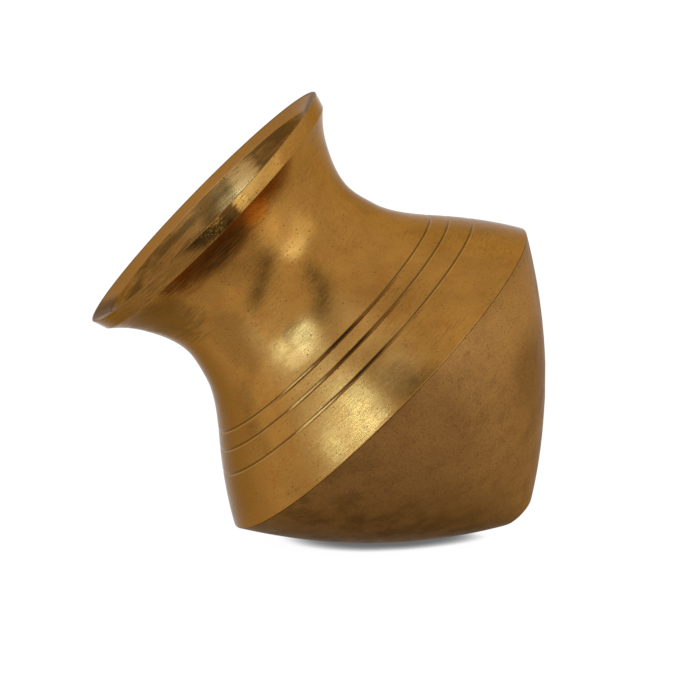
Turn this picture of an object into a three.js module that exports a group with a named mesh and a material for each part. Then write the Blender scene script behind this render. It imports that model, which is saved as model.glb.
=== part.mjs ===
// A small brass pot for pouring water in worship, turned from two castings and lying on its bowl.
// The upper shell has the mouth, the neck and a shoulder with three grooves. The lower bowl has a
// spigot that stands in a socket inside the shell, and braze run round the inside holds the two.
// Lengths are millimetres. A radius is measured out from the pot's own axis, and a depth down that
// axis from the rim. A slope is the change of radius for each unit of depth.
import * as THREE from 'three';

// The whole pot
const height = 76;

// The mouth: a flat land, a bevel that falls into the mouth, and a tapered band round the outside
const mouthRadius = 27;
const lipLand = 0.4;
const bevelWidth = 2.9;
const bevelDrop = 1.2;
const bandHeight = 2.45;
const bandTaper = 0.75;

// The neck, at its narrowest
const neckRadius = 19.5;
const neckDepth = 15.35;

// The belly's edge, where shoulder and bowl meet in a small round
const bellyRadius = 35.1;
const bellyDepth = 41.4;
const bellyEdgeRadius = 1;
const shoulderAngle = THREE.MathUtils.degToRad(30.5);
const bowlAngle = THREE.MathUtils.degToRad(32.6);

// The foot: a small flat with a round edge
const footFlatRadius = 1.8;
const footEdgeRadius = 3;
const footAngle = THREE.MathUtils.degToRad(32.8);

// The turned grooves on the shoulder: how far the lowest lies above the belly's edge, and the
// steps from it up to the next and the highest
const lowestGrooveRise = 7.19;
const lowerGrooveStep = 3.18;
const upperGrooveStep = 2.4;
const grooveWidth = 0.64;
const grooveCut = 0.4;

// Walls, square to the surface, at four places from the mouth down
const lipWall = 2.2;
const neckWall = 1.6;
const seamWall = 2.6;
const toeWall = 4.4;
const floorThickness = 6;

// The joint at the belly
const spigotWall = 1;
const spigotHeight = 1.6;
const jointGap = 0.3;
const brazeHeight = 2;
const brazeThickness = 0.8;

// Shapes of the curves, as shares: of the way from lip to neck, from neck to belly and from seam
// to foot, with each slope as a share of the mean slope on that stretch
const flareShares = { depth: 0.43, radius: 0.66, slope: 1.01, lipSlope: 2.29 };
const throatShares = { depth: 0.202, radius: 0.07, slope: 0.485 };
const shoulderShares = { depth: 0.562, radius: 0.452, slope: 1.438 };
const restTopShares = { depth: 0.54, radius: 0.413, slope: 0.977 };
const restBottomShares = { depth: 0.66, radius: 0.541, slope: 1.158 };
const innerFloorShare = 0.72;

// How finely the pot is faceted. The number round leaves a facet under the pot as it lies, wide
// enough to rest on, and a corner at each side.
const facetsRound = 46;

const brass = new THREE.MeshStandardMaterial({ color: 0xb08435, roughness: 0.38, metalness: 1 });
const agedBrass = new THREE.MeshStandardMaterial({ color: 0x8c622c, roughness: 0.45, metalness: 1 });
const spelter = new THREE.MeshStandardMaterial({ color: 0xc9a65a, roughness: 0.55, metalness: 1 });

// A station is a place on an outline, with the outline's slope there.
const station = (radius, depth, slope) => ({ radius, depth, slope });

// A station between two others, by shares of the way from one to the other.
function stationBetween(start, end, shares) {
  const rise = end.radius - start.radius;
  const run = end.depth - start.depth;
  return station(start.radius + rise * shares.radius, start.depth + run * shares.depth, rise / run * shares.slope);
}

// The radius and slope of the smooth curve through stations, at one depth.
function curveAt(stations, depth) {
  const last = stations.length - 2;
  const found = stations.findIndex((s, i) => i > 0 && depth <= s.depth) - 1;
  const i = found < 0 ? last : found;
  const [start, end] = [stations[i], stations[i + 1]];
  const run = end.depth - start.depth;
  const t = (depth - start.depth) / run;
  const rise = end.radius - start.radius;
  const bendStart = start.slope * run - rise;
  const bendEnd = rise - end.slope * run;
  const radius = start.radius + rise * t + t * (1 - t) * (bendStart * (1 - t) + bendEnd * t);
  const change = rise + (1 - 2 * t) * (bendStart * (1 - t) + bendEnd * t) + t * (1 - t) * (bendEnd - bendStart);
  return { radius, slope: change / run };
}

const evenly = (start, end, steps) =>
  Array.from({ length: steps + 1 }, (_, i) => start + (end - start) * i / steps);

// An arc of an outline, about a centre, from one angle to another. Angle 0 points straight out
// from the axis, and a quarter turn points down it.
function arc(centreRadius, centreDepth, radius, startAngle, endAngle, steps) {
  return evenly(startAngle, endAngle, steps).map((angle) =>
    [centreRadius + radius * Math.cos(angle), centreDepth + radius * Math.sin(angle)]);
}

// The outside of the upper shell, from the lip's band to the shoulder's end
const lipCorner = { radius: mouthRadius - bandTaper, depth: bandHeight };
const neck = station(neckRadius, neckDepth, 0);
const flareMean = (neck.radius - lipCorner.radius) / (neck.depth - lipCorner.depth);
const lipStart = station(lipCorner.radius, lipCorner.depth, flareMean * flareShares.lipSlope);
const edgeCentreRadius = bellyRadius - bellyEdgeRadius;
const shoulderEnd = station(
  edgeCentreRadius + bellyEdgeRadius * Math.cos(shoulderAngle),
  bellyDepth - bellyEdgeRadius * Math.sin(shoulderAngle),
  Math.tan(shoulderAngle),
);
const belly = station(bellyRadius, bellyDepth, 0);
const upperOutside = [
  lipStart,
  stationBetween(lipStart, neck, flareShares),
  neck,
  stationBetween(neck, belly, throatShares),
  stationBetween(neck, belly, shoulderShares),
  shoulderEnd,
];

// The outside of the lower bowl, from the seam to the foot. The two rest stations end the straight
// stretch that the pot lies on.
const seam = station(
  edgeCentreRadius + bellyEdgeRadius * Math.cos(bowlAngle),
  bellyDepth + bellyEdgeRadius * Math.sin(bowlAngle),
  -Math.tan(bowlAngle),
);
const toe = station(
  footFlatRadius + footEdgeRadius * Math.sin(footAngle),
  height - footEdgeRadius + footEdgeRadius * Math.cos(footAngle),
  -1 / Math.tan(footAngle),
);
const restTop = stationBetween(seam, toe, restTopShares);
const restBottom = stationBetween(seam, toe, restBottomShares);
const lowerOutside = [seam, restTop, restBottom, toe];

// The wall thins from lip to neck, and thickens evenly to the seam and on to the foot.
function wallAt(depth) {
  const places = [[lipStart.depth, lipWall], [neck.depth, neckWall], [seam.depth, seamWall], [toe.depth, toeWall]];
  const next = places.findIndex(([place], i) => i > 0 && depth <= place);
  const [[startDepth, startWall], [endDepth, endWall]] = [places[next - 1], places[next]];
  return startWall + (endWall - startWall) * (depth - startDepth) / (endDepth - startDepth);
}

// The radius of the inner face at one depth, further in by a gap if there is one.
function insideAt(stations, depth, gap = 0) {
  const outside = curveAt(stations, depth);
  return outside.radius - (wallAt(depth) + gap) * Math.hypot(1, outside.slope);
}

// The joint: the spigot's inner face carries on the bowl's inside.
const spigotInner = insideAt(lowerOutside, seam.depth);
const spigotOuter = spigotInner + spigotWall;
const spigotTop = seam.depth - spigotHeight;
const socketRadius = spigotOuter + jointGap;
const socketTop = spigotTop - jointGap;
const bowlRim = seam.depth + jointGap;

// The shoulder's outline drops into a V at the middle of each groove.
const lowestGroove = bellyDepth - lowestGrooveRise;
const grooveDepths = [lowestGroove - lowerGrooveStep - upperGrooveStep, lowestGroove - lowerGrooveStep, lowestGroove];

function grooved(depths) {
  const clear = (depth) => grooveDepths.every((middle) => Math.abs(depth - middle) > grooveWidth);
  const edges = grooveDepths.flatMap((middle) => [middle - grooveWidth / 2, middle, middle + grooveWidth / 2]);
  const all = [...depths.filter(clear), ...edges].sort((a, b) => a - b);
  return all.map((depth) => {
    const cut = grooveDepths.includes(depth) ? grooveCut : 0;
    return [curveAt(upperOutside, depth).radius - cut, depth];
  });
}

// Turns a closed outline of [radius, depth] points into a solid. Each outline here runs down the
// outside and back up the inside, and the lathe takes it the other way round, so that faces look out.
function turned(name, outline, material) {
  const points = [...outline, outline[0]].reverse().map(([radius, depth]) => new THREE.Vector2(radius, -depth));
  const facet = 2 * Math.PI / facetsRound;
  const geometry = new THREE.LatheGeometry(points, facetsRound, -(Math.PI + facet) / 2);
  const mesh = new THREE.Mesh(geometry, material);
  mesh.name = name;
  return mesh;
}

function upperShell() {
  const flare = evenly(lipStart.depth, neck.depth, 10);
  const shoulder = evenly(neck.depth, shoulderEnd.depth, 16);
  const outside = grooved([...flare, ...shoulder.slice(1)]);
  const edge = [
    ...arc(edgeCentreRadius, bellyDepth, bellyEdgeRadius, -shoulderAngle, 0, 3).slice(1),
    ...arc(edgeCentreRadius, bellyDepth, bellyEdgeRadius, 0, bowlAngle, 3).slice(1),
  ];
  const inside = evenly(lipStart.depth, socketTop, 16).map((depth) => [insideAt(upperOutside, depth), depth]);
  return turned('upper_shell', [
    [mouthRadius - lipLand - bevelWidth, bevelDrop],
    [mouthRadius - lipLand, 0],
    [mouthRadius, 0],
    ...outside,
    ...edge,
    [socketRadius, seam.depth],
    [socketRadius, socketTop],
    ...inside.reverse(),
  ], brass);
}

function lowerBowl() {
  const outside = [
    ...evenly(bowlRim, restTop.depth, 8),
    ...evenly(restBottom.depth, toe.depth, 6),
  ].map((depth) => [curveAt(lowerOutside, depth).radius, depth]);
  const footTurn = Math.PI / 2;
  const foot = arc(footFlatRadius, height - footEdgeRadius, footEdgeRadius, footTurn - footAngle, footTurn, 3);
  const innerFloor = height - floorThickness;
  const innerEnd = seam.depth + (innerFloor - seam.depth) * innerFloorShare;
  const inside = evenly(bowlRim, innerEnd, 6).map((depth) => [insideAt(lowerOutside, depth), depth]);
  return turned('lower_bowl', [
    ...outside,
    ...foot.slice(1),
    [0, height],
    ...floorCurve(inside, innerFloor).reverse(),
    ...inside.reverse(),
    [spigotInner, spigotTop],
    [spigotOuter, spigotTop],
    [spigotOuter, bowlRim],
  ], agedBrass);
}

// The inside of the bowl rounds over to a level floor on the axis.
function floorCurve(inside, innerFloor) {
  const [[radiusBefore, depthBefore], [radius, depth]] = inside.slice(-2);
  const slope = (radius - radiusBefore) / (depth - depthBefore);
  const curve = new THREE.QuadraticBezierCurve(
    new THREE.Vector2(radius, depth),
    new THREE.Vector2(radius + slope * (innerFloor - depth), innerFloor),
    new THREE.Vector2(0, innerFloor),
  );
  return curve.getPoints(5).slice(1).map((point) => [point.x, point.y]);
}

// Braze bridges the spigot's inner face and the shell's inside as a low rounded run.
function brazeRun() {
  const low = spigotTop + brazeHeight / 2;
  const high = spigotTop - brazeHeight / 2;
  const besideSpigot = spigotInner - jointGap;
  const besideShell = insideAt(upperOutside, spigotTop, jointGap);
  const crown = new THREE.QuadraticBezierCurve(
    new THREE.Vector2(insideAt(upperOutside, high, jointGap), high),
    new THREE.Vector2(besideShell - 2 * brazeThickness, spigotTop),
    new THREE.Vector2(besideSpigot, low),
  );
  const inside = crown.getPoints(4).map((point) => [point.x, point.y]);
  return turned('braze_run', [[besideShell, spigotTop], ...inside.reverse()], spelter);
}

// The pot lies with the straight stretch of its bowl flat on the ground and its mouth up towards
// -X. The origin is the middle of the facet that it lies on.
const apothemShare = Math.cos(Math.PI / facetsRound);
const restRadius = (restTop.radius + restBottom.radius) / 2 * apothemShare;
const restDepth = (restTop.depth + restBottom.depth) / 2;
const lean = Math.atan2(restBottom.depth - restTop.depth, (restTop.radius - restBottom.radius) * apothemShare);

const upright = new THREE.Group();
upright.rotation.x = Math.PI / 2;
upright.add(upperShell(), lowerBowl(), brazeRun());

const pot = new THREE.Group();
pot.add(upright);
pot.rotation.y = -lean;
pot.position.set(restRadius, 0, restDepth).applyEuler(pot.rotation);

export default pot;
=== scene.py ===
# %% [markdown]
# # A small brass lota, lying on its bowl
# A lota is a pot for pouring water in worship. This one is cast in two brass shells, turned on a
# lathe, and brazed together round its sharp belly. All of it is round about one axis, so each piece
# is drawn once as a half outline and spun, just as a lathe shapes the real one. The pieces are made
# standing upright, where radius and depth are easy to think about, and are laid down at the end.

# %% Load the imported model
import math
import bpy
import numpy as np
from mathutils import Matrix, Vector


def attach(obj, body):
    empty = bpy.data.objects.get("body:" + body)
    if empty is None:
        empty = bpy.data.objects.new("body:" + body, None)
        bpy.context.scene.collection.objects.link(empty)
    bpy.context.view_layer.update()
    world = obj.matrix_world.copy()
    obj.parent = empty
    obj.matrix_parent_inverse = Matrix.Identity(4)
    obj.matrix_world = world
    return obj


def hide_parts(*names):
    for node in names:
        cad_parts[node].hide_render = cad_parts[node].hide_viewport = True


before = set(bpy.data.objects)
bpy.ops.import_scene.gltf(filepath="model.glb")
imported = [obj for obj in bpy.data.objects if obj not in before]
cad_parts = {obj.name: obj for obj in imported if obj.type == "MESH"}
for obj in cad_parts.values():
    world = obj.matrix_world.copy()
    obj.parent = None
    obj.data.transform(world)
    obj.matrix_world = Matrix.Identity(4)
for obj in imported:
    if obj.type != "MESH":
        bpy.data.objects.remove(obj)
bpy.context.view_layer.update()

# %% [markdown]
# ## The pot's measures
# These are the numbers a turner would want, in millimetres. A radius is measured out from the pot's
# axis, and a depth down that axis from the rim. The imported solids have 46 flat sides round, and the
# real pot is round, so every radius here is drawn in to the middle of those sides. The round pot
# then lies on the ground just where the solids do. Close up, the belly's edge is sharper than the
# solids have it, and lies a little nearer the foot and further out.

# %% Measures of the pot
MM = 0.001
height = 76
mouth_radius, rim_land, bevel_width, bevel_drop = 27, 0.4, 2.9, 1.2
band_height, band_taper = 2.45, 0.75
neck_radius, neck_depth = 19.5, 15.35
belly_radius, belly_depth, belly_edge = 35.1, 41.4, 1
edge_drop, edge_swell = 0.54, 0.05
solid_bowl_angle, shoulder_angle, bowl_angle = (math.radians(a) for a in (32.6, 29.9, 30.8))
foot_flat, foot_edge, foot_angle = 1.8, 3, math.radians(32.8)
groove_depths, groove_width, groove_cut = (28.63, 31.03, 34.21), 0.64, 0.22
lip_wall, neck_wall, seam_wall, toe_wall, floor_thickness = 2.2, 1.6, 2.6, 4.4, 6
spigot_wall, spigot_height, braze_height, braze_thickness = 1, 1.6, 2, 0.8
joint_gap = 0.3

sides_of_solid = 46
round_share = math.cos(math.pi / sides_of_solid)
steps_round = sides_of_solid * 6
print("radii drawn in to", round(round_share, 5), "and spun in", steps_round, "steps")

# %% [markdown]
# ## Smooth curves through a few stations
# A turner checks a curve with a few caliper settings and blends between them. A station is such a
# setting: a radius, a depth and the slope there. Between two stations a cubic keeps both slopes, so
# the outline flows without kinks.

# %% Curves
def station_between(start, end, depth_share, radius_share, slope_share):
    rise, run = end[0] - start[0], end[1] - start[1]
    return (start[0] + rise * radius_share, start[1] + run * depth_share, rise / run * slope_share)


def curve_at(stations, depth):
    """Radius and slope of the curve at one depth."""
    pairs = list(zip(stations, stations[1:]))
    start, end = next((p for p in pairs if depth <= p[1][1]), pairs[-1])
    run, rise = end[1] - start[1], end[0] - start[0]
    t = (depth - start[1]) / run
    leave, arrive = start[2] * run - rise, rise - end[2] * run
    radius = start[0] + rise * t + t * (1 - t) * (leave * (1 - t) + arrive * t)
    change = rise + (1 - 2 * t) * (leave * (1 - t) + arrive * t) + t * (1 - t) * (arrive - leave)
    return radius, change / run


def evenly(start, end, steps):
    return [start + (end - start) * i / steps for i in range(steps + 1)]


lip = (mouth_radius - band_taper, band_height)
neck = (neck_radius, neck_depth, 0)
belly = (belly_radius, belly_depth, 0)
solid_edge = (belly_radius - belly_edge, belly_depth)
edge_centre, edge_depth = solid_edge[0] + edge_swell, solid_edge[1] + edge_drop
flare_mean = (neck[0] - lip[0]) / (neck[1] - lip[1])
lip_start = (*lip, flare_mean * 2.29)
shoulder_end = (
    edge_centre + belly_edge * math.cos(shoulder_angle),
    edge_depth - belly_edge * math.sin(shoulder_angle),
    math.tan(shoulder_angle),
)
shell_stations = [
    lip_start,
    station_between(lip_start, neck, 0.43, 0.66, 1.01),
    neck,
    station_between(neck, belly, 0.202, 0.07, 0.485),
    station_between(neck, belly, 0.562, 0.465, 1.438),
    shoulder_end,
]


def below_edge(centre, depth, angle):
    radius = centre + belly_edge * math.cos(angle)
    return radius, depth + belly_edge * math.sin(angle), -math.tan(angle)


seam = below_edge(edge_centre, edge_depth, bowl_angle)
solid_seam = below_edge(*solid_edge, solid_bowl_angle)
toe = (
    foot_flat + foot_edge * math.sin(foot_angle),
    height - foot_edge + foot_edge * math.cos(foot_angle),
    -1 / math.tan(foot_angle),
)
rest_top = station_between(solid_seam, toe, 0.54, 0.413, 0.977)
rest_bottom = station_between(solid_seam, toe, 0.66, 0.541, 1.158)
bowl_stations = [seam, rest_top, rest_bottom, toe]
print("the bowl lies on its side from depth", round(rest_top[1], 2), "to", round(rest_bottom[1], 2))

# %% [markdown]
# ## The wall
# The casting is thinnest at the neck and thickens towards the foot, which keeps the pot steady. The
# inside face is the outside moved in by the wall, square to the surface.

# %% Wall and inside face
wall_depths = [lip[1], neck_depth, seam[1], toe[1]]
walls = [lip_wall, neck_wall, seam_wall, toe_wall]


def inside_at(stations, depth, gap=0):
    radius, slope = curve_at(stations, depth)
    wall = float(np.interp(depth, wall_depths, walls)) + gap
    return radius - wall * math.hypot(1, slope)


spigot_inner = inside_at(bowl_stations, seam[1])
spigot_outer = spigot_inner + spigot_wall
spigot_top = seam[1] - spigot_height
print("wall at the neck", neck_wall, "mm")
print("spigot radii", round(spigot_inner, 2), "and", round(spigot_outer, 2), "mm")

# %% [markdown]
# ## Three helpers: draw, spin and lay down
# An outline is drawn as by hand: a plane is merged to a single vertex, and the vertex is extruded
# from point to point. Spin then turns the outline round the axis in small steps. Spinning leaves
# its first and last rows on top of each other, and every row of a pole on one spot, so the doubles
# are merged, and only then are the normals made to face outwards. Last, the piece is turned and
# moved to where the pot lies, and that move is applied, so that the object itself stays at the
# origin with its place in its mesh.

# %% Draw, spin and lay down
rest_run = rest_bottom[1] - rest_top[1]
lean = math.atan2(rest_run, (rest_top[0] - rest_bottom[0]) * round_share)
rest_radius = (rest_top[0] + rest_bottom[0]) / 2 * round_share
rest_point = Vector((rest_radius, 0, (rest_top[1] + rest_bottom[1]) / 2))
laid_place = Matrix.Rotation(-lean, 4, "Y") @ (rest_point * MM)
same_spot, doubles_within = 1e-6, 5e-7


def deselect_all():
    if bpy.context.mode != "OBJECT":
        bpy.ops.object.mode_set(mode="OBJECT")
    bpy.ops.object.select_all(action="DESELECT")


def draw_outline(name, points, closed=True):
    """A chain of edges through [radius, depth] points, standing upright."""
    deselect_all()
    places = [Vector((radius * round_share, 0, -depth)) * MM for radius, depth in points]
    bpy.ops.mesh.primitive_plane_add(size=MM, location=places[0])
    piece = bpy.context.active_object
    piece.name = piece.data.name = name
    bpy.ops.object.transform_apply(location=True, rotation=True, scale=True)
    bpy.ops.object.mode_set(mode="EDIT")
    bpy.ops.mesh.merge(type="CENTER")
    for here, there in zip(places, places[1:]):
        bpy.ops.mesh.extrude_region_move(TRANSFORM_OT_translate={"value": there - here})
    if closed:
        bpy.ops.object.mode_set(mode="OBJECT")
        ends = (places[0], places[-1])
        for vertex in piece.data.vertices:
            vertex.select = min((vertex.co - end).length for end in ends) < same_spot
        bpy.ops.object.mode_set(mode="EDIT")
        bpy.ops.mesh.edge_face_add()
    bpy.ops.object.mode_set(mode="OBJECT")
    return piece


def spin_round(piece):
    bpy.ops.object.mode_set(mode="EDIT")
    bpy.ops.mesh.select_all(action="SELECT")
    bpy.ops.mesh.spin(steps=steps_round, angle=2 * math.pi, center=(0, 0, 0), axis=(0, 0, 1))
    bpy.ops.mesh.select_all(action="SELECT")
    bpy.ops.mesh.remove_doubles(threshold=doubles_within)
    bpy.ops.mesh.normals_make_consistent(inside=False)
    bpy.ops.object.mode_set(mode="OBJECT")
    print(piece.name, "has", len(piece.data.polygons), "faces")


def lay_down(piece):
    piece.rotation_euler = (0, -lean, 0)
    piece.location = laid_place
    bpy.ops.object.transform_apply(location=True, rotation=True, scale=True)


print("the pot leans", round(math.degrees(lean), 3), "degrees from upright")

# %% [markdown]
# ## A map that runs round the pot
# The lathe tool leaves fine rings, and they stretch every highlight across them. The shader has to
# know which way the rings run, so each piece gets a UV map: U goes once round the pot, and V is the
# distance along the outline, in decimetres. Spinning keeps an outline point's radius and depth, so
# V is found by asking which outline point each vertex came from. A face that lies over the start of
# the turn gets a U past 1 there, and a corner on the axis gets the middle of its face.

# %% U round the pot
map_per_metre = 10
on_axis = 1e-7


def read_all(items, key, kind, each=1):
    """One value of all of a mesh's vertices, corners or faces, as an array."""
    values = np.zeros(len(items) * each, kind)
    items.foreach_get(key, values)
    return values.reshape(-1, each) if each > 1 else values


def turn_of_corners(u, pole, first, whole_face):
    highest = np.maximum.reduceat(np.where(pole, 0, u), first)
    lowest = np.minimum.reduceat(np.where(pole, 1, u), first)
    u = np.where(whole_face(highest - lowest > 0.5) & (u < 0.5), u + 1, u)
    total = np.add.reduceat(np.where(pole, 0, u), first)
    middle = total / np.add.reduceat(1 - pole.astype(float), first)
    return np.where(pole, whole_face(middle), u)


# %% The map
def wrap_round(piece, points, closed=True):
    """Gives a spun piece its map. Returns the distance along the outline to each of its points."""
    outline = np.array(points, float) * (round_share, 1) * MM
    path = np.vstack([outline, outline[:1]]) if closed else outline
    run = np.concatenate([[0], np.cumsum(np.hypot(*np.diff(path, axis=0).T))])
    mesh = piece.data
    places = read_all(mesh.vertices, "co", float, 3)
    radius, depth = np.hypot(places[:, 0], places[:, 1]), -places[:, 2]
    off = (radius[:, None] - outline[:, 0]) ** 2 + (depth[:, None] - outline[:, 1]) ** 2
    turn = (np.arctan2(places[:, 1], places[:, 0]) / (2 * math.pi)) % 1
    corner = read_all(mesh.loops, "vertex_index", int)
    first = read_all(mesh.polygons, "loop_start", int)
    count = np.diff(np.append(first, len(corner)))
    whole_face = lambda per_face: np.repeat(per_face, count)
    u = turn_of_corners(turn[corner], radius[corner] < on_axis, first, whole_face)
    at = off.argmin(1)[corner]
    v = run[at]
    if closed:
        starts = np.minimum.reduceat(at, first) == 0
        closes = starts & (np.maximum.reduceat(at, first) == len(outline) - 1)
        v = np.where(whole_face(closes) & (at == 0), run[-1], v)
    layer = mesh.uv_layers.new(name="Turned")
    layer.data.foreach_set("uv", np.stack([u, v * map_per_metre], 1).ravel())
    print(piece.name, "outline runs", round(run[-1] * 1000, 1), "mm")
    return run


# %% [markdown]
# ## Eased corners
# No turned corner is perfectly sharp, and a corner with a little round catches a thin line of light.
# A short curve cuts each corner, from a set distance before it to the same distance after it.

# %% Ease a corner
ease_steps = 4


def bend(start, corner, end, t):
    """A point on the curve from start, t 0, to end, t 1, that is aimed at corner at both ends."""
    parts = zip(start, corner, end)
    return tuple(a * (1 - t) ** 2 + b * 2 * t * (1 - t) + c * t ** 2 for a, b, c in parts)


def ease(before, corner, after, reach):
    corner = Vector(corner)
    start = corner + (Vector(before) - corner).normalized() * reach
    end = corner + (Vector(after) - corner).normalized() * reach
    return [bend(start, corner, end, t) for t in evenly(0, 1, ease_steps)]


def ease_corners(points, reaches):
    """Eases the corners in reaches, a dict from a point's place in the list to a distance."""
    made = []
    for i, point in enumerate(points):
        if i in reaches:
            made += ease(points[i - 1], point, points[(i + 1) % len(points)], reaches[i])
        else:
            made.append(tuple(point))
    return made


# %% [markdown]
# ## The upper shell
# One casting makes the mouth, the neck and the shoulder down to the belly. Its outline starts at the
# inside of the rim's bevel, goes out over the thin land and down the band, follows the outside over
# three grooves cut with a pointed tool, rounds the belly, and comes back up the inside. Each groove
# is a V that polishing has worn shallow. A deep V would mirror itself, which turns brass red.

# %% Outline of the upper shell
def grooved(depth):
    radius = curve_at(shell_stations, depth)[0]
    for middle in groove_depths:
        off = abs(depth - middle)
        if off < groove_width / 2:
            radius -= groove_cut * (1 - off / (groove_width / 2))
    return radius


groove_marks = (-0.36, -0.32, -0.3, -0.15, -0.03, 0.03, 0.15, 0.3, 0.32, 0.36)
clear_of_groove = 0.55
flare_steps, shoulder_steps, round_steps, inside_steps = 34, 60, 10, 48
plain = evenly(neck_depth, shoulder_end[1], shoulder_steps)[1:]
plain = [d for d in plain if all(abs(d - middle) > clear_of_groove for middle in groove_depths)]
marks = [middle + step for middle in groove_depths for step in groove_marks]
shoulder = [(grooved(d), d) for d in sorted(plain + marks)]
flare = [(curve_at(shell_stations, d)[0], d) for d in evenly(lip[1], neck_depth, flare_steps)]
print("the shoulder has", len(shoulder), "points and the flare", len(flare))

# %% [markdown]
# ## The belly's edge
# The two slopes meet in a small round, an arris. Its middle lies further out than that of the
# solids' wider round, in the corner between the slopes. Under it the shell ends, and a hair's
# breadth of gap to the bowl shows as the dark line round the belly.

# %% The belly's edge and the shell's inside
arris, seam_gap = 0.2, 0.08
half_turn = (shoulder_angle + bowl_angle) / 2
apex_way = (bowl_angle - shoulder_angle) / 2
round_out = (belly_edge - arris) / math.cos(half_turn)
round_radius = edge_centre + round_out * math.cos(apex_way)
round_depth = edge_depth + round_out * math.sin(apex_way)
belly_round = [
    (round_radius + arris * math.cos(a), round_depth + arris * math.sin(a))
    for a in evenly(-shoulder_angle, bowl_angle, round_steps)
]
shell_end = belly_round[-1][1]
bowl_start = shell_end + seam_gap
socket_radius, socket_top = spigot_outer + joint_gap, spigot_top - joint_gap
inside_depths = evenly(socket_top, lip[1], inside_steps)
shell_inside = [(inside_at(shell_stations, d), d) for d in inside_depths]
print("the shell ends at depth", round(shell_end, 2), "and the bowl starts at", round(bowl_start, 2))

# %% The whole outline, with its corners eased
shell_outline = [
    (mouth_radius - rim_land - bevel_width, bevel_drop),
    (mouth_radius - rim_land, 0),
    (mouth_radius, 0),
    *flare,
    *shoulder,
    *belly_round,
    (socket_radius, shell_end),
    (socket_radius, socket_top),
    *shell_inside,
]
bevel_foot, land_inside, land_outside, band_foot = range(4)
last_round = land_outside + len(flare) + len(shoulder) + len(belly_round)
shell_points = ease_corners(shell_outline, {
    bevel_foot: 0.25, land_inside: 0.1, land_outside: 0.1, band_foot: 0.06, last_round: 0.03,
})
print("upper shell outline has", len(shell_points), "points")

# %% [markdown]
# ## Spinning the shell
# One turn round the axis makes the outline a shell. Its map is made while it still stands upright.

# %% Spin the upper shell
upper = draw_outline("upper_shell_turned", shell_points)
spin_round(upper)
shell_run = wrap_round(upper, shell_points)
lay_down(upper)

# %% [markdown]
# ## The lower bowl
# The second casting is the tapering bowl. Its foot is only a small flat with a round edge, so the
# pot can't stand on it for long and is laid on its side. The outline starts on the axis under the
# foot and ends on the axis at the inner floor. The stretch that touches the ground is left straight.

# %% Outside of the lower bowl
curve_starts_below_seam = 0.2
above_steps, below_steps, foot_steps = 36, 24, 8
above_rest = evenly(seam[1] + curve_starts_below_seam, rest_top[1], above_steps)
below_rest = evenly(rest_bottom[1], toe[1], below_steps)
bowl_rim = seam[0] + (seam[1] - bowl_start) * math.tan(bowl_angle)
bowl_outside = [(bowl_rim, bowl_start)]
bowl_outside += [(curve_at(bowl_stations, d)[0], d) for d in above_rest + below_rest]
foot_round = [
    (foot_flat + foot_edge * math.cos(a), height - foot_edge + foot_edge * math.sin(a))
    for a in evenly(math.pi / 2 - foot_angle, math.pi / 2, foot_steps)
]
print("the bowl's rim has a radius of", round(bowl_rim, 2), "mm")

# %% [markdown]
# ## The bowl's inside
# The tool follows the outside most of the way down, and then turns in to a level floor. The turn is
# the same kind of curve as an eased corner, aimed at where the slope would have met the floor.

# %% Inside of the lower bowl, and its whole outline
turn_starts, bowl_inside_steps, floor_steps = 0.72, 30, 14
inner_floor = height - floor_thickness
inner_end = seam[1] + (inner_floor - seam[1]) * turn_starts
inside_depths = evenly(seam[1], inner_end, bowl_inside_steps)
bowl_inside = [(inside_at(bowl_stations, d), d) for d in inside_depths]
(r0, d0), (r1, d1) = bowl_inside[-2:]
turn_in = r1 + (r1 - r0) / (d1 - d0) * (inner_floor - d1)
floor_ends = (r1, d1), (turn_in, inner_floor), (0, inner_floor)
floor_curve = [bend(*floor_ends, t) for t in evenly(0, 1, floor_steps)]
bowl_points = [
    (0, height),
    *reversed(foot_round),
    *reversed(bowl_outside[:-1]),
    (spigot_outer, bowl_start),
    (spigot_outer, spigot_top),
    (spigot_inner, spigot_top),
    *bowl_inside,
    *floor_curve[1:],
]
print("lower bowl outline has", len(bowl_points), "points")

# %% [markdown]
# ## Spinning the bowl
# This outline is left open, because both of its ends are on the axis, where spinning closes it.

# %% Spin the lower bowl
bowl = draw_outline("lower_bowl_turned", bowl_points, closed=False)
spin_round(bowl)
bowl_run = wrap_round(bowl, bowl_points, closed=False)
lay_down(bowl)

# %% [markdown]
# ## The braze run
# Brass spelter was melted round the joint from inside and froze as a low bead. Nobody dresses it,
# because only a fingertip reaches it. It is spun like the rest.

# %% The braze run
bead_steps = 12
low, high = spigot_top + braze_height / 2, spigot_top - braze_height / 2
beside_shell = inside_at(shell_stations, spigot_top, joint_gap)
crown = (
    (inside_at(shell_stations, high, joint_gap), high),
    (beside_shell - 2 * braze_thickness, spigot_top),
    (spigot_inner - joint_gap, low),
)
bead = [bend(*crown, t) for t in evenly(0, 1, bead_steps)]
braze_points = [(beside_shell, spigot_top), *reversed(bead)]
braze = draw_outline("braze_bead", braze_points)
spin_round(braze)
wrap_round(braze, braze_points)
lay_down(braze)

# %% [markdown]
# ## Smooth shading
# Each spun piece is made of flat faces. Smooth shading hides them, except where two faces meet at
# more than a set angle, so the corners of the rim and the grooves stay crisp.

# %% Smooth shading, with true corners kept
corner_angle = math.radians(28)
for piece in (upper, bowl, braze):
    deselect_all()
    piece.select_set(True)
    bpy.context.view_layer.objects.active = piece
    bpy.ops.object.shade_smooth_by_angle(angle=corner_angle)
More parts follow.
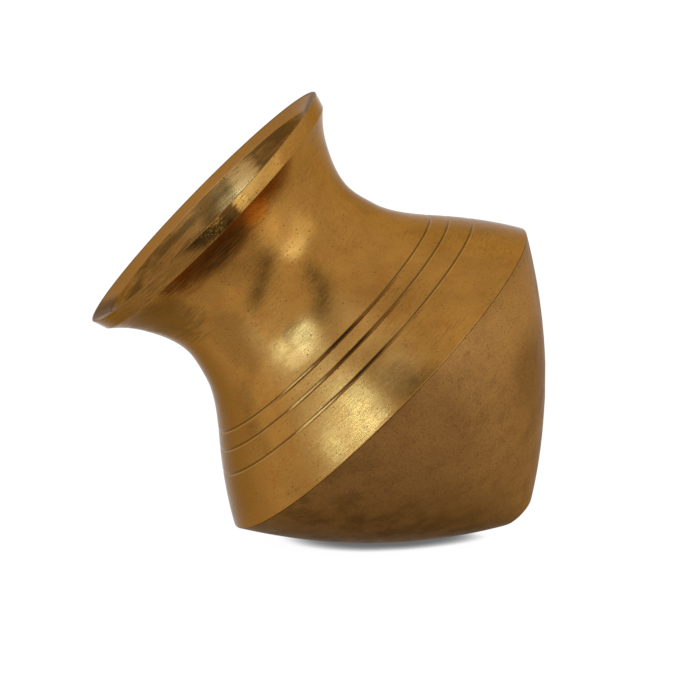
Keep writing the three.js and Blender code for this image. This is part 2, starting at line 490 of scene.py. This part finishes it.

# %% [markdown]
# ## Brass
# Old turned brass is one metal with a history: bright where hands and cloth rub it, brown where they
# don't, ringed by the tool, and dotted with small casting pits. The shader follows that order. Some
# of its tints are painted light and painted shade. The colours are written as they look on a screen
# and turned into light values by a helper.

# %% Helpers for materials
def shade(red, green, blue):
    """A screen colour from 0 to 255 as the light values that Blender works in."""
    values = [v / 255 for v in (red, green, blue)]
    return (*[v / 12.92 if v <= 0.04045 else ((v + 0.055) / 1.055) ** 2.4 for v in values], 1)


class Bench:
    """A material, and a short way to add and join its nodes."""

    def __init__(self, name):
        self.material = bpy.data.materials.new(name)
        self.material.use_nodes = True
        self.tree = self.material.node_tree
        self.surface = self.tree.nodes["Principled BSDF"]

    def put(self, socket, value):
        if isinstance(value, bpy.types.NodeSocket):
            self.tree.links.new(value, socket)
        else:
            socket.default_value = value

    def node(self, kind, inputs=None, **settings):
        made = self.tree.nodes.new("ShaderNode" + kind)
        for key, value in settings.items():
            setattr(made, key, value)
        for key, value in (inputs or {}).items():
            self.put(made.inputs[key], value)
        return made

    def math(self, operation, *values):
        made = self.node("Math", operation=operation)
        for socket, value in zip(made.inputs, values):
            self.put(socket, value)
        return made.outputs[0]

    def ramp(self, value, low, high, start=0.0, end=1.0):
        """value from low to high, eased, as start to end."""
        bounds = {"From Min": low, "From Max": high, "To Min": start, "To Max": end}
        made = self.node("MapRange", {"Value": value, **bounds}, interpolation_type="SMOOTHSTEP")
        return made.outputs["Result"]

    def mix(self, share, first, second):
        made = self.node("Mix", data_type="RGBA")
        self.put(made.inputs[0], share)
        self.put(made.inputs[6], first)
        self.put(made.inputs[7], second)
        return made.outputs[2]

    def set_surface(self, **values):
        for name, value in values.items():
            self.put(self.surface.inputs[name.replace("_", " ")], value)


# %% [markdown]
# ## Places on the pot
# The patterns need three places: a point in the upright pot in millimetres, for grain and pits, the
# distance along the outline, for the tool's rings, and the turn round the pot, for dirt, wear and
# painted light and shade.
# The pot lies tilted in its mesh, so a Mapping node turns its points upright again. Streaks are
# noise that is stretched round the pot, as a cutting edge and a polishing cloth leave it.

# %% Places
def pot_places(bench):
    lying = bench.node("TexCoord").outputs["Object"]
    per_mm = (1 / MM,) * 3
    upright = bench.node("Mapping", {
        "Vector": lying, "Rotation": (0, lean, 0), "Location": tuple(-rest_point), "Scale": per_mm,
    })
    map_of = bench.node("UVMap", uv_map="Turned").outputs["UV"]
    map_of = bench.node("SeparateXYZ", {"Vector": map_of})
    along = bench.math("MULTIPLY", map_of.outputs["Y"], 1000 / map_per_metre)
    return upright.outputs["Vector"], along, map_of.outputs["X"]


def noise(bench, scale, detail=4, rough=0.55, place=None):
    """Soft cloudy noise from 0 to 1. scale is in lumps to a millimetre of the upright pot."""
    place = bench.upright if place is None else place
    settings = {"Vector": place, "Scale": scale, "Detail": detail, "Roughness": rough}
    return bench.node("TexNoise", settings).outputs["Fac"]


def streaks(bench, around, across):
    """Noise drawn out round the pot, as a cutting edge leaves it."""
    place = bench.node("SeparateXYZ", {"Vector": bench.upright})
    drawn = bench.node("CombineXYZ", {
        "X": bench.math("MULTIPLY", place.outputs["X"], around),
        "Y": bench.math("MULTIPLY", place.outputs["Y"], around),
        "Z": bench.math("MULTIPLY", bench.along, across),
    })
    return noise(bench, scale=1, detail=3, rough=0.6, place=drawn.outputs["Vector"])


# %% [markdown]
# ## Pits
# Small pits are casting pores that the tool opened. Each cell of a Voronoi pattern has one chance
# to hold a pit, and its random colour decides that and the pit's size.

# %% Pits
def pits(bench, per_mm, share, largest):
    cells = bench.node("TexVoronoi", {"Vector": bench.upright, "Scale": per_mm})
    chance = bench.node("SeparateColor", {"Color": cells.outputs["Color"]}).outputs["Red"]
    least = bench.math("SUBTRACT", 1, share)
    size = bench.math("MULTIPLY", bench.ramp(chance, least, 1), largest)
    near = bench.math("SUBTRACT", cells.outputs["Distance"], size)
    there = bench.math("GREATER_THAN", chance, least)
    return bench.math("MULTIPLY", bench.ramp(near, -0.1, 0.04, 1, 0), there)


# %% [markdown]
# ## One recipe for three finishes
# The base colour goes from a rubbed to a brown tone in soft patches, and is painted darker on the
# side that the pot lies on, a painted shade. A place can then be tinted, or soiled, which also takes
# its shine away; some of that soil is painted shade. Both take a colour and one or more shares, and
# work where all the shares overlap. A stretch is a place along the outline, a sector is one round
# the pot, and a mark is a ragged spot.

# %% The recipe: colours and places
class Brass(Bench):
    """Turned brass, with places on it that can be given a colour or a polish of their own."""

    def __init__(self, name, top, bottom, dark, warm, side_from=-0.9, side_to=-0.5):
        super().__init__(name)
        self.dark, self.dull = dark, 0.0
        self.upright, self.along, self.turn = pot_places(self)
        self.grain = noise(self, scale=3, rough=0.7)
        self.streaks = streaks(self, around=0.3, across=3.2)
        self.side = self.math("COSINE", self.math("MULTIPLY", self.turn, 2 * math.pi))
        patches = self.ramp(noise(self, scale=0.07, detail=6, rough=0.6), 0.35, 0.65)
        self.colour = self.mix(patches, self.mix(0.25, top, dark), top)
        # Painted shade: the base colour turns to the bottom tone on the side that the pot lies on.
        self.colour = self.mix(self.ramp(self.side, side_from, side_to), bottom, self.colour)
        self.tint(warm, self.ramp(noise(self, scale=0.3, detail=7, rough=0.66), 0.45, 0.7, 0, 0.45))

    def between(self, value, start, end, fade):
        """1 where value lies from start to end."""
        enters = self.ramp(value, start - fade, start + fade)
        leaves = self.ramp(value, end - fade, end + fade)
        return self.math("SUBTRACT", enters, leaves)

    def stretch(self, start, end, fade):
        """1 where the outline's distance lies from start to end, in millimetres."""
        return self.between(self.along, start, end, fade)

    def sector(self, start, end, fade):
        """1 where the turn round the pot lies from start to end, with a slightly ragged edge."""
        unsteady = self.math("SUBTRACT", self.streaks, 0.5)
        return self.between(self.math("MULTIPLY_ADD", unsteady, 0.02, self.turn), start, end, fade)

    def mark(self, turn, along, turn_reach, along_reach, ragged=0.5):
        """A soft spot about a place, for stains and for painted light and shade: 1 in its middle, and
        a ragged edge.
        """
        across = self.math("DIVIDE", self.math("SUBTRACT", self.turn, turn), turn_reach)
        down = self.math("DIVIDE", self.math("SUBTRACT", self.along, along), along_reach)
        far = self.math("ADD", self.math("POWER", across, 2), self.math("POWER", down, 2))
        unsteady = self.math("SUBTRACT", self.streaks, 0.5)
        return self.ramp(self.math("MULTIPLY_ADD", unsteady, 4 * ragged, far), 0.2, 1.2, 1, 0)

    def both(self, *shares):
        """1 only where all of the shares are 1."""
        total = shares[0]
        for share in shares[1:]:
            total = self.math("MULTIPLY", total, share)
        return total

    def tint(self, colour, *shares):
        self.colour = self.mix(self.both(*shares), self.colour, colour)

    def soil_and_shade(self, colour, *shares):
        """Tints, and takes away the shine there."""
        share = self.both(*shares)
        self.tint(colour, share)
        self.dull = self.math("MAXIMUM", self.dull, share)


# %% [markdown]
# ## Grain, rings and pits
# These go on top, last. They are also bump, because they are far finer than the mesh. The highlight
# is stretched across the rings, and the tangent says which way these run. Brass loses its colour at
# grazing angles, and the specular tint says how much.

# %% The recipe: the surface
def finish(brass, roughness, ring_depth, pitting, anisotropic, grain=0.32, smooth=0):
    """Adds grain, streaks and pits, and sets the surface. smooth is where the tool left a polish."""
    ringed = brass.ramp(noise(brass, scale=0.09, detail=3), 0.42, 0.6)
    share = brass.ramp(noise(brass, scale=0.11), 0.35, 0.6, 0.3 * pitting, pitting)
    fine, coarse = pits(brass, 2.6, share, 0.28), pits(brass, 0.6, 0.12, 0.12)
    pit = brass.math("MAXIMUM", fine, coarse)
    brass.tint(brass.dark, brass.ramp(brass.grain, 0.46, 0.7, 0, grain))
    strong = brass.both(ringed, 8 * ring_depth)
    brass.tint(brass.dark, brass.ramp(brass.streaks, 0.5, 0.7), strong)
    brass.tint(brass.dark, pit, 0.75)
    cloudy = noise(brass, scale=0.35, detail=5, rough=0.65)
    uneven = brass.both(brass.ramp(cloudy, 0.3, 0.7, *roughness), brass.ramp(smooth, 0, 1, 1, 0.6))
    uneven = brass.math("MULTIPLY_ADD", brass.dull, 0.22, uneven)
    deep = brass.math("MULTIPLY_ADD", ringed, ring_depth, ring_depth * 0.3)
    relief = brass.math("MULTIPLY_ADD", brass.grain, 0.005, brass.both(brass.streaks, deep))
    relief = brass.math("MULTIPLY_ADD", pit, -0.05, relief)
    bump = brass.node("Bump", {"Height": relief, "Distance": MM, "Strength": 1.0})
    tangent = brass.node("Tangent", direction_type="UV_MAP", uv_map="Turned")
    brass.set_surface(
        Base_Color=brass.colour, Roughness=uneven, Normal=bump.outputs["Normal"],
        Tangent=tangent.outputs["Tangent"], Metallic=1, Anisotropic=anisotropic,
        Anisotropic_Rotation=0.25, Specular_Tint=(0.65, 0.56, 0.47, 1),
    )
    return brass.material


def run_at(points, run, radius, depth):
    """The distance along an outline, in millimetres, to its point nearest a radius and depth."""
    nearest = min(range(len(points)), key=lambda i: math.dist(points[i], (radius, depth)))
    return float(run[nearest]) * 1000


# %% [markdown]
# ## The upper shell's brass
# The shell has the brightest metal, because hands and cloth rub it most. The inside was never
# polished: it is darker, with long stains round it. Just inside the mouth a painted highlight sits
# between two darker marks, one of them painted shade.

# %% The upper shell's brass
shell_brass = Brass(
    "Turned brass", top=shade(168, 118, 53), bottom=shade(142, 97, 44), dark=shade(66, 42, 18),
    warm=shade(148, 92, 40))
stretch, sector, mark, tint, soil_and_shade, ramp = (
    shell_brass.stretch, shell_brass.sector, shell_brass.mark, shell_brass.tint, shell_brass.soil_and_shade,
    shell_brass.ramp)


def down_shell(depth):
    return run_at(shell_points, shell_run, curve_at(shell_stations, depth)[0], depth)


under_band = run_at(shell_points, shell_run, *lip)
rim_at = run_at(shell_points, shell_run, mouth_radius, 0)
inside_from = run_at(shell_points, shell_run, socket_radius, shell_end)
inside_mouth = run_at(shell_points, shell_run, inside_at(shell_stations, 5), 5)
past_the_end = 1000
inside = stretch(inside_from, past_the_end, 0.4)
tint(shade(138, 94, 42), inside)
tint(shade(74, 52, 24), inside, ramp(streaks(shell_brass, 0.09, 0.55), 0.42, 0.62, 0, 0.75))
tint(shade(92, 66, 30), inside, ramp(shell_brass.streaks, 0.42, 0.62, 0, 0.5))
# A painted highlight on the inside wall just inside the mouth.
tint(shade(226, 170, 92), mark(0.212, inside_mouth, 0.03, 5), 0.34)
# Painted shade beside that highlight.
tint(shade(84, 58, 26), mark(0.26, inside_mouth, 0.035, 6), 0.6)
tint(shade(80, 54, 26), mark(0.14, inside_mouth, 0.04, 6), 0.4)
print("inside from", round(inside_from, 2), "mm along the outline")

# %% [markdown]
# ## Grime and painted shade under the band
# Polish and dust gather in the corner under the band, where a cloth doesn't reach, and the dark tint
# there is partly painted shade under the band. The tint follows the streaks, so it looks wiped round
# the pot and not sprayed on. It is thickest at one place, and beside that the metal is stained
# orange, as brass is by heat or by a wet cloth.

# %% Grime and painted shade under the band
grime_and_shade = ramp(shell_brass.streaks, 0.35, 0.6, 0.15, 0.6)
grime_and_shade_there = shell_brass.both(stretch(under_band + 0.6, under_band + 5.6, 1.4), grime_and_shade)
# Dirt and painted shade under the band, part of the way round.
tint(shade(104, 60, 20), grime_and_shade_there, sector(0.62, 0.8, 0.03))
streaky = ramp(shell_brass.streaks, 0.34, 0.6, 0.2, 0.8)
# Dirt and painted shade: the darkest patch under the band.
soil_and_shade(shade(70, 46, 18), mark(0.75, down_shell(4.8), 0.05, 3.4), streaky)
tint(shade(208, 126, 36), mark(0.811, down_shell(4.2), 0.02, 2.4), streaky)
soil_and_shade(shade(84, 58, 26), mark(0.62, down_shell(7), 0.06, 8), 0.6)
print("grime from", round(under_band + 0.6, 2), "mm along the outline")

# %% [markdown]
# ## The rim
# The band was finished with a fine cut and is smoother. Part of the way round it has tarnished, with
# a hard end to the dull part and a few golden flecks left in it. Next to that end the band has a
# painted highlight, with painted shade on both sides of it. The bevel inside the rim is duller at its
# two far ends, and the thin land between bevel and band has worn brown.

# %% The rim, half tarnished
band = stretch(rim_at, under_band, 0.08)
tarnish = ramp(shell_brass.streaks, 0.35, 0.6, 0.55, 0.9)
tint(shade(112, 77, 34), band, sector(0.5, 0.796, 0.0015), tarnish)
# A painted highlight just past the end of the tarnish.
tint(shade(226, 172, 84), band, sector(0.798, 0.81, 0.002), 0.3)
# Painted shade on the last stretch of the tarnish.
tint(shade(84, 56, 24), band, sector(0.778, 0.7962, 0.0015), 0.55)
flecks = shell_brass.both(sector(0.754, 0.778, 0.005), ramp(shell_brass.grain, 0.5, 0.58))
tint(shade(246, 176, 78), band, flecks, 0.85)
# Painted shade beyond the painted highlight.
tint(shade(120, 82, 36), band, sector(0.809, 0.835, 0.004), 0.3)
bevel = stretch(-0.2, rim_at - 0.3, 0.1)
tint(shade(158, 112, 60), bevel, 0.6)
for end in (0.93, -0.93):
    soil_and_shade(shade(84, 52, 18), bevel, ramp(shell_brass.side, end, math.copysign(1, end), 0, 0.9))
soil_and_shade(shade(110, 80, 42), stretch(rim_at - 0.6, rim_at, 0.1), 0.7)
print("the band runs from", round(rim_at, 2), "to", round(under_band, 2), "mm")

# %% [markdown]
# ## Soft marks, painted light and painted shade on the neck and the shoulder
# A few broad soft marks keep the metal from looking dipped in one colour. The first two are wear and
# dirt; the others are painted highlights and painted shade that shift the lamps' highlights and the
# dark reflections. Each has a place round the pot, a depth, its reach both ways, how ragged it is, a
# strength, and a tone that is paler or browner than the metal.

# %% Soft marks, painted light and painted shade on the neck and the shoulder
for turn, depth, turn_reach, along_reach, ragged, strength, tone in (
    (0.83, 9, 0.05, 7, 0.5, 0.14, (220, 162, 76)),
    (0.742, 9, 0.022, 3, 0.5, 0.4, (118, 82, 38)),
    # Painted shade that dims the left lamp's highlight on the neck.
    (0.744, 23.4, 0.02, 3, 0.5, 0.55, (116, 82, 38)),
    # A painted highlight that moves the neck's highlight down.
    (0.73, 26.4, 0.022, 1.8, 0.5, 0.3, (220, 166, 88)),
    # Painted shade: a darker reflection on the lower side of the neck.
    (0.67, 17, 0.04, 7, 0.5, 0.5, (120, 83, 38)),
    # A painted highlight that lightens a dark reflection beside the shoulder's highlight.
    (0.79, 38, 0.02, 4, 0.3, 0.2, (214, 162, 90)),
):
    wear_and_painted_light_spot = mark(turn, down_shell(depth), turn_reach, along_reach, ragged)
    tint(shade(*tone), wear_and_painted_light_spot, strength)
# Painted shade: darker on the side that the pot lies on, from under the band to the belly.
tint(shade(112, 77, 35), sector(0.42, 0.6, 0.035), stretch(under_band, down_shell(40), 2), 0.5)

# %% [markdown]
# ## Dirt, painted shade and painted highlights in the grooves
# A groove has three thin lines: a dark one where dirt sits, a pale one on the lip that is rubbed,
# and a nearly black stretch of painted shade on the side towards the camera. Further round, a stretch
# of the groove has a painted highlight.

# %% Dirt, painted shade and painted highlights in the grooves
for middle in groove_depths:
    bottom = curve_at(shell_stations, middle)[0] - groove_cut
    at = run_at(shell_points, shell_run, bottom, middle)
    tint(shade(200, 156, 88), stretch(at + 0.22, at + 0.4, 0.1), 0.45)
    tint(shade(86, 60, 30), stretch(at - 0.18, at + 0.14, 0.1), 0.8)
    # Painted shade: the near-black stretch on the side towards the camera.
    tint(shade(38, 26, 12), stretch(at - 0.26, at + 0.26, 0.12), sector(0.755, 0.8, 0.014), 0.92)
    # A painted highlight where the groove mirrors the left lamp.
    tint(shade(226, 188, 112), stretch(at - 0.08, at + 0.3, 0.1), sector(0.692, 0.735, 0.01), 0.8)
shell_material = finish(
    shell_brass, roughness=(0.22, 0.29), ring_depth=0.03, pitting=0.3, anisotropic=0.5, grain=0.22,
    smooth=stretch(rim_at, under_band, 0.1))

# %% [markdown]
# ## The bowl's and the bead's brass
# The bowl is browner than the shell, partly tarnish and partly painted shade of the darker table that
# it mirrors, and it is painted darker and mottled on the side that it lies on. A place high on its
# edge has a painted highlight. The spelter in the joint is paler and dull, because no tool touched
# it.

# %% The bowl's brass
bowl_brass = Brass(
    "Aged brass with painted shade", top=shade(146, 103, 54), bottom=shade(124, 86, 44), dark=shade(52, 34, 18),
    warm=shade(112, 72, 38), side_from=-0.4, side_to=0.7)
bowl_inside_from = run_at(bowl_points, bowl_run, spigot_outer, bowl_start)
bowl_edge = run_at(bowl_points, bowl_run, bowl_rim, bowl_start)
bowl_brass.tint(shade(118, 84, 44), bowl_brass.stretch(bowl_inside_from, past_the_end, 0.4))
painted_highlight_high_on_edge = bowl_brass.stretch(bowl_edge - 12, bowl_edge, 4)
# A painted highlight high on the bowl's edge, where it mirrors the bright room above.
bowl_brass.tint(shade(196, 144, 78), bowl_brass.sector(0.86, 0.97, 0.03), painted_highlight_high_on_edge, 0.45)
mottled = bowl_brass.ramp(noise(bowl_brass, scale=0.17, detail=6, rough=0.62), 0.42, 0.64, 0, 0.6)
# Dark mottles, painted stronger towards the side that the pot lies on as painted shade.
bowl_brass.tint(shade(78, 50, 24), mottled, bowl_brass.ramp(bowl_brass.side, 0.1, -0.6))
bowl_material = finish(
    bowl_brass, roughness=(0.34, 0.44), ring_depth=0.008, pitting=0.45, anisotropic=0.3, grain=0.45)

# %% The bead's brass, and all three given to their pieces
bead_brass = Brass(
    "Spelter", top=shade(190, 144, 74), bottom=shade(160, 114, 56), dark=shade(70, 46, 24),
    warm=shade(150, 100, 50))
bead_material = finish(
    bead_brass, roughness=(0.42, 0.55), ring_depth=0, pitting=0.2, anisotropic=0.2)
finishes = ((upper, shell_material), (bowl, bowl_material), (braze, bead_material))
for piece, material in finishes:
    piece.data.materials.clear()
    piece.data.materials.append(material)
    print(piece.name, "is", material.name)

# %% [markdown]
# ## Into the frame
# Each piece stands for its imported solid and rides on the one body.

# %% Ride and replace
for piece, node, slot in (
    (upper, "upper_shell", "turned_brass"),
    (bowl, "lower_bowl", "aged_brass"),
    (braze, "braze_run", "spelter"),
):
    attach(piece, "root")
    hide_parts(node)

# %% [markdown]
# ## The studio
# Metal shows what stands round it, so lighting metal means placing things for it to mirror. The pot
# lies on a white table in a white room, and both show white to the camera and to the metal. Under a
# sky as even as this, a shadow is only the sky that the pot hides, which is what the Ambient
# Occlusion node measures. So the table's light is turned down by it: close to the pot for the
# camera, and in a wider ring for the metal.

# %% Helpers for the studio
def seen_or_mirrored(tree):
    """1 for rays from the camera and for those that metal or glass sends on."""
    path = tree.nodes.new("ShaderNodeLightPath")
    total = path.outputs["Is Camera Ray"]
    for name in ("Is Glossy Ray", "Is Transmission Ray"):
        most = tree.nodes.new("ShaderNodeMath")
        most.operation = "MAXIMUM"
        tree.links.new(total, most.inputs[0])
        tree.links.new(path.outputs[name], most.inputs[1])
        total = most.outputs[0]
    return total


def stage_plane(name, place, turn, size, bench):
    """A flat card or table top, applied, that isn't part of the pot."""
    deselect_all()
    bpy.ops.mesh.primitive_plane_add(size=1, location=Vector(place) * MM, rotation=turn)
    plane = bpy.context.active_object
    plane.name = name
    plane.scale = (size[0] * MM, size[1] * MM, 1)
    bpy.ops.object.transform_apply(location=True, rotation=True, scale=True)
    plane.data.materials.append(bench.material)
    return plane


# %% The white table
just_under_pot, table_size = -0.02, 8000
close_reach, wide_reach = 1.95, 30
white = Bench("White table")
white.set_surface(
    Base_Color=(0.1, 0.1, 0.1, 1), Roughness=1, Specular_IOR_Level=0, Emission_Color=(1, 1, 1, 1))
camera_ray = white.node("LightPath").outputs["Is Camera Ray"]
close = white.node("AmbientOcclusion", {"Distance": close_reach * MM}, samples=16).outputs["AO"]
wide = white.node("AmbientOcclusion", {"Distance": wide_reach * MM}, samples=4).outputs["AO"]
contact = white.math("MULTIPLY", white.ramp(close, 0.08, 0.72, 0.14, 0.975), camera_ray)
mirrored = white.math("SUBTRACT", seen_or_mirrored(white.tree), camera_ray)
around = white.math("MULTIPLY", white.ramp(wide, 0, 0.8, 0.45, 0.97), mirrored)
white.set_surface(Emission_Strength=white.math("ADD", contact, around))
stage_plane("white_table", (0, 0, just_under_pot), (0, 0, 0), (table_size, table_size), white)
print("the table darkens within", close_reach, "mm, and in the metal within", wide_reach, "mm")

# %% [markdown]
# ## The white room
# The world is plain white. It lights the pot less than it shows, so that the lamps still count.

# %% The white room
light_on_pot, light_seen = 0.6, 1.0
room = bpy.data.worlds.new("White room")
bpy.context.scene.world = room
room.use_nodes = True
sky = room.node_tree.nodes["Background"]
sky.inputs["Color"].default_value = (1, 1, 1, 1)
level = room.node_tree.nodes.new("ShaderNodeMapRange")
room.node_tree.links.new(seen_or_mirrored(room.node_tree), level.inputs["Value"])
level.inputs["To Min"].default_value = light_on_pot
level.inputs["To Max"].default_value = light_seen
room.node_tree.links.new(level.outputs["Result"], sky.inputs["Strength"])
print("the room gives", light_on_pot, "of the light that it shows")

# %% [markdown]
# ## Lamps
# Soft boxes stand on both sides of the camera, and each pale highlight is the mirror image of one.
# A wide faint box round a small bright one gives the highlight a soft edge. Their light is bluish,
# because light that brass has mirrored once is yellow, and these highlights are nearly white. The
# camera doesn't see the lamps, only what they do.

# %% A soft box
pot_middle = Vector((-5.2, 0, 38))
bluest, bluish, cool, pale_blue, faint_blue = (
    (0.5, 1, 2.1), (0.62, 1, 1.9), (0.62, 1, 1.7), (0.75, 1, 1.3), (0.9, 1, 1.1))


def towards(azimuth, elevation):
    """A direction from the pot: azimuth 0 is to the camera, and grows to the right."""
    a, e = math.radians(azimuth), math.radians(elevation)
    return Vector((math.sin(a) * math.cos(e), -math.cos(a) * math.cos(e), math.sin(e)))


def spread(distance, angle):
    return 2 * distance * math.tan(math.radians(angle / 2))


def soft_lamp(name, azimuth, elevation, width, tall, brightness, roll=0, distance=700, colour=bluish):
    """A soft box as wide and tall as these angles, seen from the pot, and rolled clockwise there."""
    deselect_all()
    way = towards(azimuth, elevation)
    bpy.ops.object.light_add(type="AREA", location=(pot_middle + way * distance) * MM)
    lamp = bpy.context.active_object
    lamp.name = name
    facing = way.to_track_quat("Z", "Y").to_matrix() @ Matrix.Rotation(math.radians(roll), 3, "Z")
    lamp.rotation_euler = facing.to_euler()
    lamp.data.shape = "RECTANGLE"
    lamp.data.size = spread(distance, width) * MM
    lamp.data.size_y = spread(distance, tall) * MM
    lamp.data.color = colour
    lamp.data.energy = brightness * math.pi * lamp.data.size * lamp.data.size_y
    lamp.visible_camera = False
    print(name, "is", round(lamp.data.size, 2), "by", round(lamp.data.size_y, 2), "m")


# %% The six soft boxes
leaning, far_back = -31, 800
soft_lamp("left_lamp", -49.5, 25, 7, 18, 12.5, roll=leaning, colour=bluest)
soft_lamp("left_low", -59, 8, 9, 13, 5.5, roll=leaning, colour=bluest)
soft_lamp("left_wing", -66, 13, 28, 46, 0.6, distance=far_back)
soft_lamp("left_high", -60, 54, 30, 22, 0.5, distance=far_back)
soft_lamp("right_lamp", 46, 8, 24, 26, 1.25, colour=cool)
soft_lamp("right_wing", 60, 4.5, 44, 35, 0.8, distance=far_back, colour=pale_blue)

# %% [markdown]
# ## Pools of light on the table
# A polished table top mirrors the lamps as well, and the metal mirrors those gleams from below. The
# plain white table here has no shine, so a flat lamp laid on it stands for each gleam.

# %% Pools of light on the table
above_table = 1


def table_pool(name, x, y, width, depth, brightness, colour):
    """The gleam of a lamp in the polished table top, laid on it as a flat lamp that shines up."""
    deselect_all()
    place = Vector((x, y, above_table)) * MM
    bpy.ops.object.light_add(type="AREA", location=place, rotation=(math.pi, 0, 0))
    lamp = bpy.context.active_object
    lamp.name = name
    lamp.data.shape = "RECTANGLE"
    lamp.data.size, lamp.data.size_y = width * MM, depth * MM
    lamp.data.energy = brightness * math.pi * lamp.data.size * lamp.data.size_y
    lamp.data.color = colour
    lamp.visible_camera = False
    print(name, "is", width, "by", depth, "mm")


table_pool("left_pool", -142, -112, 100, 84, 0.8, bluish)
table_pool("right_pool", 150, -75, 130, 110, 1.0, faint_blue)

# %% [markdown]
# ## Grey cards
# A photographer of metal lays grey cards just outside the picture, because without something darker
# to mirror the metal looks flat. The camera doesn't see them, and they cast no shadow.

# %% Grey cards
on_table, flat = 0.5, (0, 0, 0)
card_distance = 500


def grey_card(name, place, turn, size, tone):
    bench = Bench(name)
    bench.set_surface(Base_Color=(tone, tone, tone, 1), Roughness=1, Specular_IOR_Level=0)
    card = stage_plane(name, place, turn, size, bench)
    card.visible_camera = card.visible_shadow = card.visible_diffuse = False
    print(name, "is", [round(side) for side in size], "mm and", tone, "white")


def standing_card(name, azimuth, elevation, width, tall, tone):
    way = towards(azimuth, elevation)
    turn = way.to_track_quat("Z", "Y").to_euler()
    size = (spread(card_distance, width), spread(card_distance, tall))
    grey_card(name, pot_middle + way * card_distance, turn, size, tone)


grey_card("front_card", (45, -144, on_table), flat, (220, 104), 0.25)
grey_card("left_card", (-200, 36, on_table), flat, (120, 60), 0.5)
standing_card("top_card", -12, 44, 48, 14, 0.5)

# %% [markdown]
# ## Camera
# A long lens stands well back and looks slightly down at the middle of the pot.

# %% Camera
camera_place, look_at = Vector((-5.18, -630.4, 177.9)) * MM, Vector((-5.18, 0, 32.98)) * MM
camera_roll, sensor_width, lens = math.radians(-0.07), 36, 195.4
deselect_all()
bpy.ops.object.camera_add(location=camera_place)
camera = bpy.context.active_object
facing = (look_at - camera.location).to_track_quat("-Z", "Y").to_matrix()
camera.rotation_euler = (facing @ Matrix.Rotation(camera_roll, 3, "Z")).to_euler()
camera.data.sensor_width = sensor_width
camera.data.lens = lens
camera.data.clip_start, camera.data.clip_end = 0.01, 20
bpy.context.scene.camera = camera
bpy.context.scene.view_settings.view_transform = "Standard"
print("the camera stands", round((look_at - camera.location).length, 3), "m from the pot")
